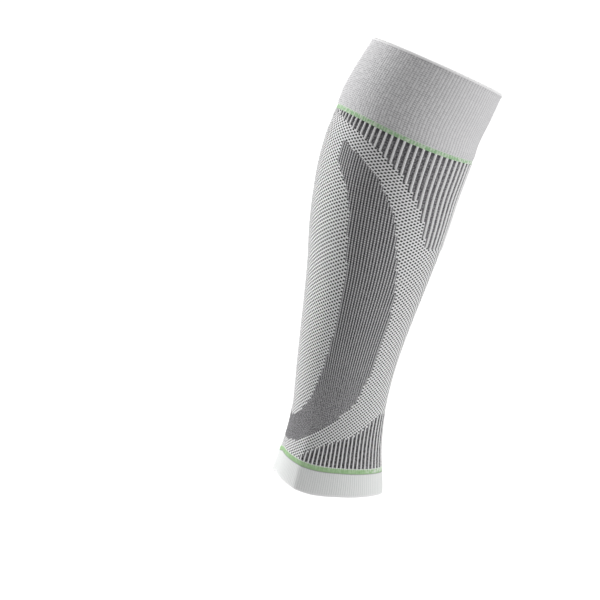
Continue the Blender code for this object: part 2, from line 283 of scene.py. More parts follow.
# Sizes of the pattern, in wales and courses
DOT_WIDTH = 0.93
DOT_TALL = 1.09
RIB_WIDTH = 0.36           # half of a white rib
SHIN_RIB_WIDTH = 0.43      # the same at the shin, where the stretch opens the ribs
RIB_SOFTNESS = 0.10        # half width of its soft edge
RIB_SLANT = 0.9            # how far a stitch climbs across a rib, in courses
LINE_SLANT = 1.2
BACK_SLANT = 0.8
UPPER_BITE = 0.10          # how far the ribs reach into the stripes
LOWER_BITE = 0.01
BITE_START = 0.7           # where they start to fade, as a part of that reach
CROWN_SLANT = 0.9          # how steeply the zigzag over a stripe climbs
UPPER_CROWN = 0.25         # and how white it is
LOWER_CROWN = 0.75
TOP_SEAM = -0.35           # course of the top cuff around which the green runs over
UPPER_HALF = (0.4 * COURSES, 0.5 * COURSES)    # courses between the lower and the upper half
RIB_TOP_SHADE = (COURSES - 4.0, COURSES - 0.5)       # courses over which the grooves lose their flecks, as painted shade under the upper stripe

# Soft edges of the pattern, by where each starts and ends: in stitches, in parts of a pit's
# half width or in values of a noise
PIT_EDGE = (0.75, 1.10)
LOOP_SHADE = (0.25, 0.50)
WEAR_EDGE = (0.45, 0.75)
CREST_STITCH = (0.34, 0.48)
FLECK_EDGE = (0.42, 0.66)
LINE_EDGE = (0.12, 0.27)
DASH_EDGE = (0.22, 0.42)
BETWEEN_LINES = (0.24, 0.38)
DENSE_DOT_EDGE = (0.18, 0.42)
SPECK_EDGE = (0.48, 0.60)
CRISP_COURSES = (22.0, 70.0)
HEEL_COURSES = (40.0, 22.0)
CUFF_RIB_EDGE = (0.30, 0.50)
SECOND_WALE = (0.20, 0.30)
TICK_EDGE = (0.22, 0.45)
TICK_PATCH_EDGE = (0.36, 0.56)
RIM_EDGE = (1.1, 0.6)
SEAM_SHADOW_EDGE = (1.05, 0.85)
SEAM_GREEN_EDGE = (0.70, 0.55)
GREEN_EDGE = (0.05, 0.50)
PALE_EDGE = (0.10, 0.30)
STRIPE_GROOVE_EDGE = (RIB_WIDTH - 0.05, RIB_WIDTH + 0.15)
CROWN_EDGE = (1.75, 2.05)
BACK_WALE_EDGE = (0.22, 0.48)
BACK_COURSE_EDGE = (0.25, 0.48)

# The same round the sleeve, from 0 at the middle of the back to 1 at the shin
WIDER_RIBS = (0.46, 0.74)
HEEL_SIDES = (0.30, 0.10)
TICKS_END = (0.42, 0.64)
STRIPE_FADE = (0.72, 0.86)

# Noise: how fine it is along wales and along courses, and where a third value stands, how strong
PIT_NOISE = (1.7, 1.7, 0.6)
WEAR_NOISE = (0.6, 0.9)
RIB_NOISE = (1.3, 2.1, 0.24)
FLECK_NOISE = (1.6, 1.2)
LINE_NOISE = (1.9, 1.9, 0.20)
SPECK_NOISE = (1.9, 1.9)
TICK_NOISE = (0.9, 0.3)
TICK_PATCH_NOISE = (0.8, 0.5)
SEAM_NOISE = (1.3, 0.9)
MOTTLE_NOISE = (0.8, 0.6)

# Strengths in the pattern, where 1 is full. The waves are in courses
WEAR = 0.4
CREST_SHADE = 0.35
FLECK = 0.7
DASH_GAP = 0.92
FAINT_LINE = 0.45          # of the crescents' lines low down, against higher up
SPECK = 0.9
SPECK_LOST = 0.8           # where the lines are crisp
PAINTED_HEEL_SHADE = 0.32
CUFF_LINE = 0.62
CUFF_LINE_EXTRA = 0.15
TICK_WAVE = 0.6
TICKS_LOST = 0.65          # towards the shin
CUFF_TICKS = 0.80
HEM_TICKS = 0.15
SEAM_WAVE = 0.3
GREEN_RIB = 0.5
MOTTLE = 1.2
MOTTLE_LEVEL = 0.40
STRIPE_FADED = 0.85
BACK_STITCH = 0.7

# Colours as linear red, green and blue
WHITE_YARN = (0.96, 0.955, 0.96)
SHADED_YARN = (0.90, 0.897, 0.905)
STITCH_GREY = (0.46, 0.455, 0.47)
DARK_YARN = (0.030, 0.029, 0.032)
GROOVE_GREY = (0.105, 0.102, 0.110)
DENSE_GREY = (0.115, 0.112, 0.120)
DENSE_DOT = (0.02, 0.019, 0.022)
DENSE_LINE = (0.92, 0.915, 0.93)
DENSE_GREY_LOW = (0.135, 0.132, 0.140)
DENSE_LINE_LOW = (0.66, 0.655, 0.67)
# The cuffs are one white yarn: the top cuff's white is painted darker as shade, and the hem's white and
# shade are painted lighter, with a faint green tint, as bounce light from the floor, though the hem's knit
# is also a little whiter.
SHADED_CUFF_WHITE = (0.84, 0.835, 0.845)
CUFF_SHADE = (0.36, 0.357, 0.37)
LIT_HEM_WHITE = (0.94, 0.955, 0.945)
LIT_HEM_SHADE = (0.68, 0.70, 0.69)
LIT_RIM_WHITE = (0.97, 0.965, 0.97)
CUFF_BACK = (0.72, 0.717, 0.725)
UPPER_GREEN = (0.36, 0.60, 0.33)
UPPER_GREEN_LIGHT = (0.72, 0.83, 0.67)
LOWER_GREEN = (0.38, 0.61, 0.31)
LOWER_GREEN_LIGHT = (0.54, 0.74, 0.47)
STRIPE_PALE = (0.84, 0.88, 0.83)
MESH_BACK = (0.72, 0.72, 0.72)
MESH_BACK_GAP = (0.30, 0.30, 0.31)
RIB_BACK = (0.55, 0.55, 0.555)
RIB_BACK_GAP = (0.22, 0.22, 0.225)
DENSE_BACK = (0.34, 0.34, 0.345)
DENSE_BACK_GAP = (0.16, 0.16, 0.165)
KNIT_ROUGHNESS = 0.88
KNIT_SPECULAR = 0.25

# Stage: the place of the floor, the lights by their direction round from the shin and above
# the horizon and their softness, all in degrees, and their strength, and the camera
FLOOR_HEIGHT = -0.16
FLOOR_RADIUS = 9.0
FLOOR_COLOUR = (0.55, 0.55, 0.55)
FLOOR_ROUGHNESS = 0.9
FLOOR_GLOW = 0.85
BACKDROP_RADIUS = 9.5
BACKDROP_COLOUR = (0.0, 0.0, 0.0)
BACKDROP_ROUGHNESS = 1.0
BACKDROP_GLOW = 1.1
FILL_LIGHT = 0.345
LIGHTS = (
    ("front light", 27.0, 5.0, 50.0, 1.60),
    ("back light", 220.0, -5.0, 30.0, 2.35),
    ("top light", 215.0, 72.0, 50.0, 0.80),
)
BOUNCE_PLACE = (-0.13, -0.10, -0.125)
BOUNCE_WIDTH = 0.22
BOUNCE_POWER = 0.105
CAMERA_ANGLES = (-18.0, 7.6, 13.0)
CAMERA_PLACE = (-0.69749875, -1.96809452, 0.41688156)
CAMERA_LENS = 157.94
CAMERA_SENSOR = 36.0


def smooth(table, column, at):
    """Reads one column of a table as a smooth curve along its first column."""
    rows = np.array(table, dtype=float)
    keys = rows[:, 0]
    values = rows[:, column]
    at = np.clip(np.asarray(at, dtype=float), keys[0], keys[-1])
    slopes = np.gradient(values, keys)
    low = np.clip(np.searchsorted(keys, at) - 1, 0, len(keys) - 2)
    span = keys[low + 1] - keys[low]
    t = (at - keys[low]) / span
    start = (2 * t**3 - 3 * t**2 + 1) * values[low] + (t**3 - 2 * t**2 + t) * span * slopes[low]
    end = (3 * t**2 - 2 * t**3) * values[low + 1] + (t**3 - t**2) * span * slopes[low + 1]
    return start + end


def section(height):
    """Tilt, middle, half depth, half width and egg of the sections at some heights."""
    share = np.asarray(height, dtype=float) / SLEEVE_LENGTH
    value = {name: smooth(SECTIONS, SECTION_COLUMNS.index(name), share) for name in SECTION_COLUMNS[1:]}
    half_depth = (ANKLE_DEPTH + value["depth"] * (CALF_DEPTH - ANKLE_DEPTH)) / 2
    half_width = (ANKLE_WIDTH + value["width"] * (CALF_WIDTH - ANKLE_WIDTH)) / 2
    return np.radians(value["tilt"]), value["shift"] * CALF_DEPTH, half_depth, half_width, value["egg"]


def make_angle_chart():
    """Section angle over a grid of heights and of shares of the way round."""
    heights = np.linspace(-CHART_BELOW, SLEEVE_LENGTH + CHART_ABOVE, CHART_ROWS)
    shares = np.linspace(0.0, 0.5, CHART_COLUMNS)
    angles = np.linspace(0.0, math.pi, CHART_TURN)
    _, _, half_depth, half_width, egg = section(heights)
    x = half_depth[:, None] * np.cos(angles)
    y = half_width[:, None] * np.sin(angles) * (1 - egg[:, None] * np.cos(angles))
    steps = np.hypot(np.diff(x, axis=1), np.diff(y, axis=1))
    arc = np.concatenate([np.zeros((len(x), 1)), np.cumsum(steps, axis=1)], axis=1)
    return heights, shares, np.array([np.interp(shares, row / (2 * row[-1]), angles) for row in arc])


CHART_HEIGHTS, CHART_SHARES, CHART_ANGLES = make_angle_chart()


def fold(share):
    """Distance from the shin as a share of the girth, from 0 to 0.5 on either side."""
    share = np.mod(share, 1.0)
    return np.minimum(share, 1.0 - share)


def angle_at(share, height):
    """Section angle that lies the given share of the girth away from the shin."""
    row = np.interp(height, CHART_HEIGHTS, np.arange(len(CHART_HEIGHTS)))
    column = np.interp(share, CHART_SHARES, np.arange(len(CHART_SHARES)))
    r = np.minimum(row.astype(int), len(CHART_HEIGHTS) - 2)
    c = np.minimum(column.astype(int), len(CHART_SHARES) - 2)
    up, along = row - r, column - c
    low = CHART_ANGLES[r, c] * (1 - along) + CHART_ANGLES[r, c + 1] * along
    high = CHART_ANGLES[r + 1, c] * (1 - along) + CHART_ANGLES[r + 1, c + 1] * along
    return low * (1 - up) + high * up


def tendon_fold(share, height):
    """How far the raised corner lifts the knit."""
    fade = np.clip(1.0 - height / TENDON_REACH, 0.0, 1.0)
    spread = np.where(share < TENDON_SHARE, TENDON_FRONT_SPREAD, TENDON_SPREAD)
    across = (np.hypot(share - TENDON_SHARE, TENDON_ROUNDING) - TENDON_ROUNDING) / spread
    return TENDON_HEIGHT * np.exp(-across) * fade * fade * (3 - 2 * fade)


def surface(share, height, lift):
    """Points of the worn knit's outer face, moved outwards by lift."""
    spread = np.broadcast_arrays(share, height, lift)
    share, height, lift = (np.asarray(value, dtype=float) for value in spread)
    side = np.where(np.mod(share, 1.0) <= 0.5, -1.0, 1.0)
    share = fold(share)
    lift = lift + tendon_fold(share, height)
    tilt, middle, half_depth, half_width, egg = section(height)
    angle = angle_at(share, height)
    tangent_x = -half_depth * np.sin(angle)
    tangent_y = half_width * (np.cos(angle) - egg * np.cos(2 * angle))
    length = np.hypot(tangent_x, tangent_y)
    ahead = half_depth * np.cos(angle) + lift * tangent_y / length
    out = half_width * np.sin(angle) * (1 - egg * np.cos(angle)) - lift * tangent_x / length
    return np.stack([middle + ahead * np.cos(tilt), side * out, height - ahead * np.sin(tilt)], axis=-1)


def low_line(share, height):
    """A line round the ankle end, which follows the hem's wave less the higher it lies."""
    fade = np.maximum(0.0, 1.0 - height / HEM_DIP_REACH)
    return height + HEM_DIP * fade * smooth(HEM_WAVE, 1, fold(share))


def high_line(share, height):
    """A line round the calf that follows the upper stripe's wave."""
    turn = 2 * math.pi * np.asarray(share, dtype=float)
    rise = SEAM_BACK_RISE * (1 - np.cos(turn)) / 2
    return height + rise - SEAM_SIDE_DIP * (1 - np.cos(2 * turn)) / 2


def level_line(share, height):
    """A level line round the sleeve."""
    return np.full_like(share, height)


def ring(line, height):
    """The heights round the sleeve of one line, as a function of the share of the way round."""
    return lambda share: line(share, height)


def knit_bottom(share):
    """Lower edge of the knit between the stripes."""
    return low_line(share, BOTTOM_CUFF_HEIGHT + STRIPE_HEIGHT)


def knit_top(share):
    """Upper edge of the knit between the stripes."""
    return high_line(share, SLEEVE_LENGTH - TOP_CUFF_HEIGHT - STRIPE_HEIGHT)


def course_part(course):
    """Share of the height between the stripes at which a course lies."""
    parts = np.linspace(0.0, 1.0, COURSE_STEPS)
    density = smooth(COURSE_DENSITY, 1, parts)
    count = np.concatenate([[0.0], np.cumsum(density[1:] + density[:-1])])
    return np.interp(np.asarray(course, dtype=float) / COURSES, count / count[-1], parts)


def wale_share(wale, part):
    """Share of the girth at which a wale lies, at a share of the height between the stripes."""
    turn = np.asarray(wale, dtype=float) / WALES
    back, ends = smooth(WALE_SPREAD, 1, part), smooth(WALE_SPREAD, 2, part)
    share = turn + 0.0 * back
    for _ in range(SPREAD_STEPS):
        angle = 2 * math.pi * share
        share = turn - back * np.sin(angle) / (2 * math.pi) - ends * np.sin(2 * angle) / (4 * math.pi)
    return share


def knit_point(wale, course, lift):
    """A point of the knit between the stripes."""
    part = course_part(course)
    share = wale_share(wale, part)
    low, high = knit_bottom(share), knit_top(share)
    return surface(share, low + part * (high - low), lift)


def inside(outline, share, part):
    """Whether points lie inside a closed outline."""
    result = np.zeros(share.shape, dtype=bool)
    for (x0, y0), (x1, y1) in zip(outline, np.roll(outline, -1, axis=0)):
        spans = (y0 > part) != (y1 > part)
        slope = (x1 - x0) / (y1 - y0) if y1 != y0 else 0.0
        result ^= spans & (share < x0 + (part - y0) * slope)
    return result


def crescent_outline():
    """A crescent's edge, on one side of the sleeve and up to the middle of the back."""
    rows = [(place, *row) for place, row in enumerate(CRESCENT)]
    places = np.linspace(0, len(CRESCENT) - 1, OUTLINE_STEPS * len(CRESCENT))
    front = np.stack([smooth(rows, 1, places), smooth(rows, 2, places)], axis=1)
    back = np.stack([smooth(rows, 3, places), smooth(rows, 4, places)], axis=1)
    beyond = np.array([(PAST_BACK, back[0, 1]), (PAST_BACK, front[0, 1])])
    return np.concatenate([front, back[::-1], beyond])


def make_zones():
    """The zone of each stitch, by wale and course."""
    wale = np.arange(WALES)[:, None]
    part = course_part(np.arange(COURSES) + 0.5)[None, :]
    share = fold(wale_share(wale + 0.5, part))
    rib = fold(wale_share(2 * ((wale + 1) // 2), part))
    zones = np.full((WALES, COURSES), SHIN_MESH)
    foot = smooth(CALF_MESH_FOOT, 1, share)
    zones[(share >= CALF_MESH_FOOT[0][0]) & (part >= foot)] = CALF_MESH
    zones[inside(crescent_outline(), share, part + 0 * share)] = CRESCENTS
    zones[(rib <= UPPER_RIB_EDGE[-1][0]) & (part > smooth(UPPER_RIB_EDGE, 1, rib))] = UPPER_RIBS
    zones[(rib <= LOWER_RIB_EDGE[-1][0]) & (part < smooth(LOWER_RIB_EDGE, 1, rib))] = LOWER_RIBS
    return zones


def mesh_relief(wale, course):
    """Openwork: a pit in every second stitch, and a loop across each stitch between the pits."""
    across, up = np.mod(wale, 1.0), np.mod(course, 1.0)
    even = np.mod(np.floor(wale) + np.floor(course), 2) == 0
    wide, tall = np.abs(np.sin(math.pi * across)), np.abs(np.sin(math.pi * up))
    return np.where(even, -DOT_DEPTH * (wide * tall) ** PIT_ROUNDNESS, LOOP_HEIGHT * tall)


def rib_relief(wale, course):
    """Ribs: a round crest on every second wale's edge, a groove between, and stitches on top."""
    offset = np.mod(wale + 1.0, 2.0) - 1.0
    down = np.clip((np.abs(offset) - RIB_CREST_FLAT) / RIB_FLANK, 0.0, 1.0)
    swell = 0.5 + 0.5 * np.cos(math.pi * down)
    stitch = STITCH_HEIGHT * np.cos(2 * math.pi * (course + 0.5 * offset))
    stitch = stitch * (GROOVE_STITCH + (1.0 - GROOVE_STITCH) * swell)
    crest = np.where(course < COURSES / 2, LOWER_RIB_CREST, UPPER_RIB_CREST)
    return -RIB_GROOVE + (RIB_GROOVE + crest) * swell + stitch


def crescent_relief(wale, course):
    """Dense knit: a low ridge along the middle of each wale."""
    across = np.mod(wale, 1.0) - 0.5
    ridge = np.exp(-0.5 * (across / LINE_SPREAD) ** 2)
    return LINE_HEIGHT * ridge + DENSE_STITCH_HEIGHT * np.cos(2 * math.pi * (course + across))


def cuff_relief(wale, course):
    """Fine ribs along every wale, with each second one stronger."""
    ridge = 0.5 - 0.5 * np.cos(2 * math.pi * wale)
    strength = 1.0 + SECOND_RIB * np.cos(math.pi * np.floor(wale))
    return CUFF_RIB * ridge * strength + CUFF_STITCH_HEIGHT * np.cos(2 * math.pi * course)


def build_object(name, points, sizes, loops, maps, materials, indices):
    """A mesh object from flat arrays: face sizes, corner vertices and corner UVs."""
    mesh = bpy.data.meshes.new(name)
    mesh.vertices.add(len(points))
    mesh.vertices.foreach_set("co", np.ascontiguousarray(points, dtype=np.float32).ravel())
    mesh.loops.add(len(loops))
    mesh.loops.foreach_set("vertex_index", np.ascontiguousarray(loops, dtype=np.int32))
    mesh.polygons.add(len(sizes))
    starts = np.concatenate([[0], np.cumsum(sizes)[:-1]])
    mesh.polygons.foreach_set("loop_start", np.ascontiguousarray(starts, dtype=np.int32))
    mesh.update(calc_edges=True)
    for label, corners in maps.items():
        layer = mesh.uv_layers.new(name=label)
        layer.data.foreach_set("uv", np.ascontiguousarray(corners, dtype=np.float32).ravel())
    for material in materials:
        mesh.materials.append(material)
    mesh.polygons.foreach_set("material_index", np.ascontiguousarray(indices, dtype=np.int32))
    mesh.shade_smooth()
    mesh.set_sharp_from_angle(angle=math.radians(SHARP_ANGLE))
    mesh.validate()
    made = bpy.data.objects.new(name, mesh)
    bpy.context.scene.collection.objects.link(made)
    return made


class Corners:
    """Collects a patch's vertices by their place in the knit, so that neighbours share them."""

    def __init__(self):
        self.keys = []
        self.sizes = []
        self.spots = []
        self.kinds = []

    def add(self, layer, wale, course, kind):
        """Adds faces of one size, their corners counted in fine steps. Layer 1 is the inner face."""
        wale, course, layer = np.broadcast_arrays(wale, course, layer)
        steps = FINE * WALES
        key = (layer * steps + np.mod(wale, steps)) * (FINE * COURSES + 1) + course
        self.keys.append(key.reshape(-1))
        self.sizes.append(np.full(len(key), key.shape[1]))
        self.spots.append(np.stack([wale, course], axis=-1).reshape(-1, 2) / FINE)
        self.kinds.append(np.full(len(key), kind))

    def result(self):
        """Layer, wale and course of each vertex, then each face's size, corners, spots and kind."""
        keys, loops = np.unique(np.concatenate(self.keys), return_inverse=True)
        rest, course = np.divmod(keys, FINE * COURSES + 1)
        layer, wale = np.divmod(rest, FINE * WALES)
        sizes, spots, kinds = (np.concatenate(x) for x in (self.sizes, self.spots, self.kinds))
        return layer, wale / FINE, course / FINE, sizes, loops.reshape(-1), spots, kinds


def bake_places(sizes, spots, kinds, strips):
    """A layout of the faces on the unit square: outer faces, inner faces and walls in strips."""
    kind = np.repeat(kinds, sizes)
    starts = np.concatenate([[0], np.cumsum(sizes)[:-1]])
    centre = np.add.reduceat(spots, starts, axis=0) / sizes[:, None]
    centre = np.repeat(centre, sizes, axis=0)
    low, high = spots.min(axis=0), spots.max(axis=0)
    tall = np.ceil((high[1] - low[1]) / strips)
    strip = np.minimum((centre[:, 1] - low[1]) // tall, strips - 1)
    x = (spots[:, 0] - low[0]) / (high[0] - low[0])
    y = (spots[:, 1] - low[1] - strip * tall) / tall
    places = np.zeros((len(spots), 2))
    inner_part = 1.0 - 2 * STRIP_MARGIN
    for face, (start, width) in ((OUTER, OUTER_STRIP), (INNER, INNER_STRIP)):
        chosen = kind == face
        span = width / strips
        places[chosen, 0] = start + span * (strip[chosen] + STRIP_MARGIN + inner_part * x[chosen])
        places[chosen, 1] = STRIP_MARGIN + inner_part * y[chosen]
    walls = np.flatnonzero(kinds == WALL)
    side = max(1, math.ceil(math.sqrt(len(walls) / WALL_ROWS)))
    box_x, box_y = WALL_STRIP[1] / side, 1.0 / (WALL_ROWS * side + 1)
    in_x, in_y = WALL_INSET
    for order, face in enumerate(walls):
        corners = np.arange(starts[face], starts[face] + sizes[face])
        row, column = divmod(order, side)
        half = sizes[face] - 2
        outer = column + np.linspace(in_x, 1.0 - in_x, half)
        inner = column + np.array([1.0 - in_x, in_x])
        places[corners[:half], 0] = WALL_STRIP[0] + box_x * outer
        places[corners[:half], 1] = box_y * (row + 1.0 - in_y)
        places[corners[half:], 0] = WALL_STRIP[0] + box_x * inner
        places[corners[half:], 1] = box_y * (row + in_y)
    return places


def patch(name, chosen, across, up, relief, materials, centred, strips):
    """A closed piece of knit over the chosen stitches, with its relief and its inner face."""
    wale, course = np.nonzero(chosen)
    if not centred:
        wale = np.where(wale >= WALES // 2, wale - WALES, wale)
    corners = Corners()
    step_x, step_y = FINE // across, FINE // up
    grid = np.meshgrid(np.arange(across), np.arange(up), indexing="ij")
    place_x, place_y = (value.ravel() for value in grid)
    left = (FINE * wale[:, None] + step_x * place_x[None, :]).reshape(-1, 1)
    low = (FINE * course[:, None] + step_y * place_y[None, :]).reshape(-1, 1)
    corners.add(0, left + step_x * np.array([0, 0, 1, 1]), low + step_y * np.array([0, 1, 1, 0]), OUTER)
    left, low = FINE * wale[:, None], FINE * course[:, None]
    corners.add(1, left + FINE * np.array([0, 1, 1, 0]), low + FINE * np.array([0, 0, 1, 1]), INNER)

    padded = np.pad(chosen, ((0, 0), (1, 1)))
    near_x, near_y = np.arange(across + 1) * step_x, np.arange(up + 1) * step_y
    zero_x, zero_y = np.zeros(across + 1, dtype=int), np.zeros(up + 1, dtype=int)
    edges = (
        (np.roll(chosen, 1, axis=0), zero_y, near_y[::-1], (0, 0), (0, 1)),
        (np.roll(chosen, -1, axis=0), zero_y + FINE, near_y, (1, 1), (1, 0)),
        (padded[:, :-2], near_x, zero_x, (1, 0), (0, 0)),
        (padded[:, 2:], near_x[::-1], zero_x + FINE, (0, 1), (1, 1)),
    )
    for neighbour, x, y, first, second in edges:
        open_side = ~neighbour[np.nonzero(chosen)]
        left, low = FINE * wale[open_side, None], FINE * course[open_side, None]
        inner_x, inner_y = FINE * np.array([first, second]).T
        layer = np.array([0] * len(x) + [1, 1])
        corners.add(layer, left + np.append(x, inner_x), low + np.append(y, inner_y), WALL)

    layer, at_wale, at_course, sizes, loops, spots, kinds = corners.result()
    lift = np.where(layer == 0, relief(at_wale, at_course), -KNIT_WALL)
    points = knit_point(at_wale, at_course, lift)
    maps = {"knit": spots, "OFBake": bake_places(sizes, spots, kinds, strips)}
    return build_object(name, points, sizes, loops, maps, materials, np.where(kinds == INNER, 1, 0))


def tube(name, rows, part, materials, strips):
    """A closed ring of knit. A row gives its heights round the sleeve, lift, course, face and ribbing."""
    columns = TUBE_STEPS * WALES
    count = len(rows)
    wale = np.arange(columns) / TUBE_STEPS
    share = wale_share(wale, part)
    points = []
    for heights, lift, course, _, ribbed in rows:
        relief = ribbed * cuff_relief(wale, np.full_like(wale, course))
        points.append(surface(share, heights(share), lift + relief))
    row, column = np.meshgrid(np.arange(count), np.arange(columns), indexing="ij")
    after, right = (row + 1) % count, (column + 1) % columns
    loops = np.stack([row * columns + column, after * columns + column,
                      after * columns + right, row * columns + right], axis=-1).reshape(-1)
    courses = np.array([line[2] for line in rows] + [rows[0][2]])
    x = np.stack([column, column, column + 1, column + 1], axis=-1)
    y = np.stack([row, row + 1, row + 1, row], axis=-1)
    spots = np.stack([x / TUBE_STEPS, courses[y]], axis=-1).reshape(-1, 2)
    strip = columns // strips
    turn = (column // strip)[..., None]
    places = np.stack([x / strip - turn, (y / count + turn) / strips], axis=-1).reshape(-1, 2)
    indices = np.repeat([line[3] for line in rows], columns)
    maps = {"knit": spots, "OFBake": TUBE_MARGIN + (1.0 - 2 * TUBE_MARGIN) * places}
    sizes = np.full(count * columns, 4)
    return build_object(name, np.concatenate(points), sizes, loops, maps, materials, indices)


class Pattern:
    """A material coloured from the knit's own count of wales and courses."""

    def __init__(self, name):
        self.material = bpy.data.materials.new(name)
        self.material.use_nodes = True
        self.tree = self.material.node_tree
        self.shader = self.tree.nodes["Principled BSDF"]
        self.shader.inputs["Roughness"].default_value = KNIT_ROUGHNESS
        self.shader.inputs["Specular IOR Level"].default_value = KNIT_SPECULAR
        place = self.tree.nodes.new("ShaderNodeUVMap")
        place.uv_map = "knit"
        split = self.tree.nodes.new("ShaderNodeSeparateXYZ")
        self.tree.links.new(place.outputs["UV"], split.inputs["Vector"])
        self.wale, self.course = split.outputs["X"], split.outputs["Y"]

    def put(self, socket, value):
        """Links another node's value to a socket, or sets a number or a colour on it."""
        if isinstance(value, bpy.types.NodeSocket):
            self.tree.links.new(value, socket)
        elif isinstance(value, tuple):
            socket.default_value = (*value, 1.0)
        else:
            socket.default_value = value

    def math(self, operation, *values):
        """The result of one operation on numbers or other nodes' values."""
        node = self.tree.nodes.new("ShaderNodeMath")
        node.operation = operation
        for socket, value in zip(node.inputs, values):
            self.put(socket, value)
        return node.outputs["Value"]

    def times(self, *values):
        """The product of its values."""
        product = values[0]
        for value in values[1:]:
            product = self.math("MULTIPLY", product, value)
        return product

    def less(self, value):
        """What is left of 1 after a value."""
        return self.math("SUBTRACT", 1.0, value)

    def step(self, value, start, end):
        """Rises smoothly from 0 at start to 1 at end."""
        node = self.tree.nodes.new("ShaderNodeMapRange")
        node.interpolation_type = "SMOOTHSTEP"
        for socket, given in zip(node.inputs, (value, start, end, 0.0, 1.0)):
            self.put(socket, given)
        return node.outputs["Result"]

    def mix(self, factor, first, second):
        """A colour between two, the second one where the factor is 1."""
        node = self.tree.nodes.new("ShaderNodeMix")
        node.data_type = "RGBA"
        self.put(node.inputs[0], factor)
        self.put(node.inputs[6], first)
        self.put(node.inputs[7], second)
        return node.outputs[2]

    def noise(self, across, up):
        """Irregular value around 0.5, with its fineness given along wales and along courses."""
        join = self.tree.nodes.new("ShaderNodeCombineXYZ")
        self.put(join.inputs["X"], self.times(self.wale, across))
        self.put(join.inputs["Y"], self.times(self.course, up))
        node = self.tree.nodes.new("ShaderNodeTexNoise")
        node.inputs["Scale"].default_value = 1.0
        node.inputs["Detail"].default_value = 1.0
        self.tree.links.new(join.outputs["Vector"], node.inputs["Vector"])
        return node.outputs["Fac"]

    def wobble(self, across, up, strength):
        """Irregular value around 0."""
        return self.times(self.math("SUBTRACT", self.noise(across, up), 0.5), strength)

    def middle(self, value):
        """Distance from the middle of the stitch, 0 to 0.5."""
        return self.math("ABSOLUTE", self.math("SUBTRACT", self.math("FRACT", value), 0.5))

    def from_line(self, value, line):
        """Distance from a line."""
        return self.math("ABSOLUTE", self.math("SUBTRACT", value, line))

    def rib_offset(self):
        """Place across a rib and its grooves, from -1 to 1 in wales, with the rib around 0."""
        turn = self.math("FRACT", self.times(self.math("ADD", self.wale, 1.0), 0.5))
        return self.math("SUBTRACT", self.times(turn, 2.0), 1.0)

    def toward_shin(self):
        """Rises from 0 at the middle of the back to 1 at the shin."""
        return self.times(self.middle(self.math("DIVIDE", self.wale, WALES)), 2.0)

    def rib_width(self):
        """Half of a white rib: wider in front in the upper half."""
        front = self.times(self.step(self.toward_shin(), *WIDER_RIBS), self.step(self.course, *UPPER_HALF))
        return self.math("ADD", RIB_WIDTH, self.times(front, SHIN_RIB_WIDTH - RIB_WIDTH))

    def finish(self, colour):
        """Gives the material its colour."""
        self.put(self.shader.inputs["Base Color"], colour)
        return self.material


def openwork():
    """White loops round dark pits, which lie in every second stitch like a chessboard."""
    p = Pattern("openwork")
    cells = p.math("ADD", p.math("FLOOR", p.wale), p.math("FLOOR", p.course))
    odd = p.times(p.math("FRACT", p.times(cells, 0.5)), 2.0)
    x = p.math("DIVIDE", p.middle(p.wale), DOT_WIDTH / 2)
    y = p.math("DIVIDE", p.middle(p.course), DOT_TALL / 2)
    reach = p.math("SQRT", p.math("ADD", p.times(x, x), p.times(y, y)))
    ragged = p.math("ADD", reach, p.wobble(*PIT_NOISE))
    pit = p.times(p.less(p.step(ragged, *PIT_EDGE)), p.less(odd))
    loop = p.mix(p.step(p.middle(p.course), *LOOP_SHADE), WHITE_YARN, SHADED_YARN)
    wear = p.times(p.step(p.noise(*WEAR_NOISE), *WEAR_EDGE), WEAR)
    return p.finish(p.mix(pit, p.mix(wear, loop, SHADED_YARN), DARK_YARN))


def ribbing():
    """White ribs with slanting stitches over mottled dark grooves."""
    p = Pattern("ribbing")
    offset = p.rib_offset()
    away = p.math("ADD", p.math("ABSOLUTE", offset), p.wobble(*RIB_NOISE))
    width = p.rib_width()
    start, end = p.math("SUBTRACT", width, RIB_SOFTNESS), p.math("ADD", width, RIB_SOFTNESS)
    groove = p.step(away, start, end)
    slant = p.middle(p.math("ADD", p.course, p.times(offset, RIB_SLANT)))
    crest = p.mix(p.times(p.step(slant, *CREST_STITCH), CREST_SHADE), WHITE_YARN, STITCH_GREY)
    fleck = p.step(p.noise(*FLECK_NOISE), *FLECK_EDGE)
    # Painted shade: the grooves lose their pale flecks and darken just under the upper stripe.
    below = p.less(p.step(p.course, *RIB_TOP_SHADE))
    base = p.mix(p.step(p.course, *UPPER_HALF), DARK_YARN, GROOVE_GREY)
    floor = p.mix(p.times(fleck, below, FLECK), base, STITCH_GREY)
    return p.finish(p.mix(groove, crest, floor))


